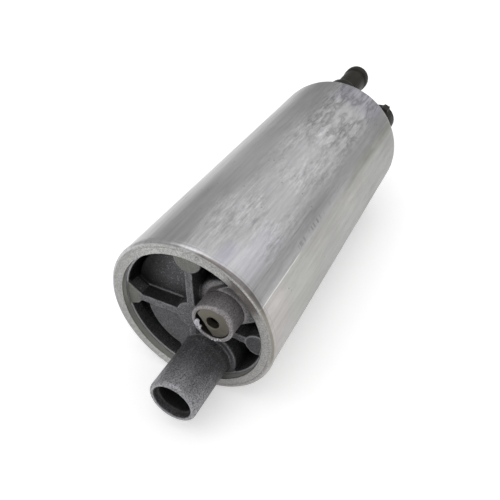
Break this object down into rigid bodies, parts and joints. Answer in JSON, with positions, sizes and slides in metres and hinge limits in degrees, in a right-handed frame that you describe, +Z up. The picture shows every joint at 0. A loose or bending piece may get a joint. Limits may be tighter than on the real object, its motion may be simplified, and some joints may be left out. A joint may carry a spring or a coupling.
{
  "type": "electric fuel pump",
  "caption": "Inline electric fuel pump in a rolled aluminium can, with a cast inlet cover and nozzle, relief valve, rotor pump, motor, outlet nozzle and connector.",
  "frame": {"origin": "on the can's axis, at the middle of the can's length", "axes": "+X along the can from the inlet end to the outlet end, +Z up towards the outlet nozzle's side"},
  "size_m": [0.164, 0.0522, 0.0522],
  "materials": {
    "can_aluminium": "satin, drawn, lightly scratched",
    "cover_casting": "as cast, dark grey, grainy",
    "seal_rubber": "matt",
    "plug_steel": "dull, staked in",
    "ball_steel": "polished",
    "ball_rubber": "matt",
    "spring_steel": "drawn wire",
    "pump_plate_steel": "ground",
    "rotor_steel": "sintered",
    "screw_steel": "zinc plated",
    "coupling_plastic": "moulded",
    "bush_bronze": "sintered",
    "washer_fibre": "pressed fibre",
    "shaft_steel": "ground",
    "core_steel": "stacked laminations",
    "insulator_fibre": "pressed fibre",
    "winding_copper": "enamelled wire",
    "commutator_copper": "turned",
    "hub_plastic": "moulded",
    "flux_steel": "rolled, zinc plated",
    "magnet_ferrite": "fired, ground inside",
    "holder_plastic": "moulded",
    "brush_carbon": "pressed carbon",
    "outlet_plastic": "semi-gloss, moulded",
    "seat_brass": "turned",
    "terminal_tin": "tin plated"
  },
  "bodies": {
    "pump_body": {"can": "can_aluminium", "inlet_cover": "cover_casting", "inlet_seal": "seal_rubber", "relief_plug": "plug_steel", "relief_spring": "spring_steel", "pump_inlet_plate": "pump_plate_steel", "eccentric_ring": "pump_plate_steel", "pump_outlet_plate": "pump_plate_steel", "pump_screws": "screw_steel", "drive_end_bush": "bush_bronze", "commutator_end_bush": "bush_bronze", "flux_ring": "flux_steel", "magnet_upper": "magnet_ferrite", "magnet_lower": "magnet_ferrite", "magnet_clips": "spring_steel", "brush_holder": "holder_plastic", "brush_spring_upper": "spring_steel", "brush_spring_lower": "spring_steel", "outlet_cover": "outlet_plastic", "outlet_seal": "seal_rubber", "check_valve_seat": "seat_brass", "check_valve_spring": "spring_steel", "terminal_positive": "terminal_tin", "terminal_negative": "terminal_tin"},
    "armature": {"armature_shaft": "shaft_steel", "armature_core": "core_steel", "armature_insulators": "insulator_fibre", "armature_windings": "winding_copper", "commutator": "commutator_copper", "commutator_hub": "hub_plastic", "drive_coupling": "coupling_plastic", "inner_rotor": "rotor_steel", "thrust_washers": "washer_fibre"},
    "outer_rotor": {"outer_rotor": "rotor_steel"},
    "relief_valve": {"relief_ball": "ball_steel"},
    "check_valve": {"check_valve_ball": "ball_rubber"},
    "brush_upper": {"brush_upper": "brush_carbon"},
    "brush_lower": {"brush_lower": "brush_carbon"}
  },
  "joints": [
    {"name": "armature_spin", "type": "hinge", "parent": "pump_body", "child": "armature", "pos_m": [0, 0, 0], "axis": [1, 0, 0], "continuous": true},
    {"name": "outer_rotor_spin", "type": "hinge", "parent": "pump_body", "child": "outer_rotor", "pos_m": [-0.0335, -0.00118, 0.00021], "axis": [1, 0, 0], "continuous": true},
    {"name": "relief_valve_slide", "type": "slide", "parent": "pump_body", "child": "relief_valve", "axis": [-1, 0, 0], "range_m": [0, 0.002], "stiffness_N_per_m": 400, "springref_m": -0.003, "deforming": ["relief_spring"]},
    {"name": "check_valve_slide", "type": "slide", "parent": "pump_body", "child": "check_valve", "axis": [1, 0, 0], "range_m": [0, 0.003], "stiffness_N_per_m": 60, "springref_m": -0.003, "deforming": ["check_valve_spring"]},
    {"name": "brush_upper_slide", "type": "slide", "parent": "pump_body", "child": "brush_upper", "axis": [0, 0, 1], "range_m": [0, 0.0025], "stiffness_N_per_m": 150, "springref_m": -0.004, "deforming": ["brush_spring_upper"]},
    {"name": "brush_lower_slide", "type": "slide", "parent": "pump_body", "child": "brush_lower", "axis": [0, 0, -1], "range_m": [0, 0.0025], "stiffness_N_per_m": 150, "springref_m": -0.004, "deforming": ["brush_spring_lower"]}
  ],
  "couplings": [
    {"joint": "outer_rotor_spin", "follows": "armature_spin", "ratio": 0.85714}
  ]
}
